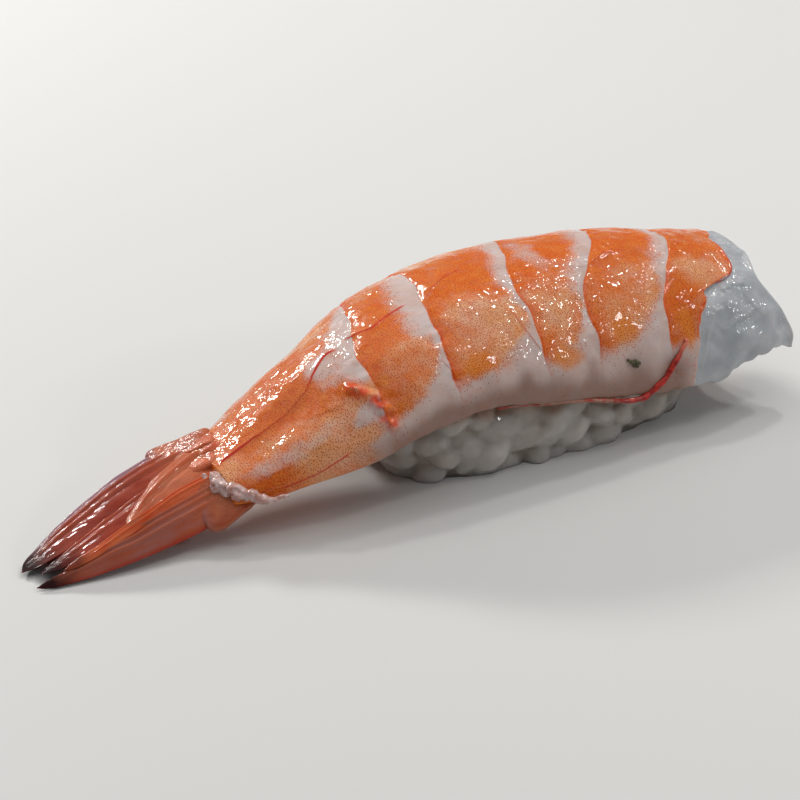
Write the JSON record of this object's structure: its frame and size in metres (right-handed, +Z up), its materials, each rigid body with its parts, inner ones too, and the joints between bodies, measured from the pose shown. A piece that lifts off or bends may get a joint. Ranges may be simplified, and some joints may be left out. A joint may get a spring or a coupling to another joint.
{
  "type": "shrimp nigiri",
  "caption": "Shrimp nigiri: a cooked, butterflied shrimp with its tail fan, draped over a hand-pressed block of rice.",
  "frame": {"origin": "centre of the bounding box's footprint, on the plane that the rice stands on", "axes": "+X along the shrimp from its tail fan to its cut head end, +Y across it, away from the side that the picture shows, +Z up"},
  "size_m": [0.1054, 0.0304, 0.0235],
  "materials": {
    "shrimp_flesh": "moist cooked shrimp, orange back with white bands",
    "cooked_rice": "sticky cooked rice, slightly translucent"
  },
  "bodies": {
    "root": {"shrimp": "shrimp_flesh", "rice": "cooked_rice"}
  },
  "joints": []
}
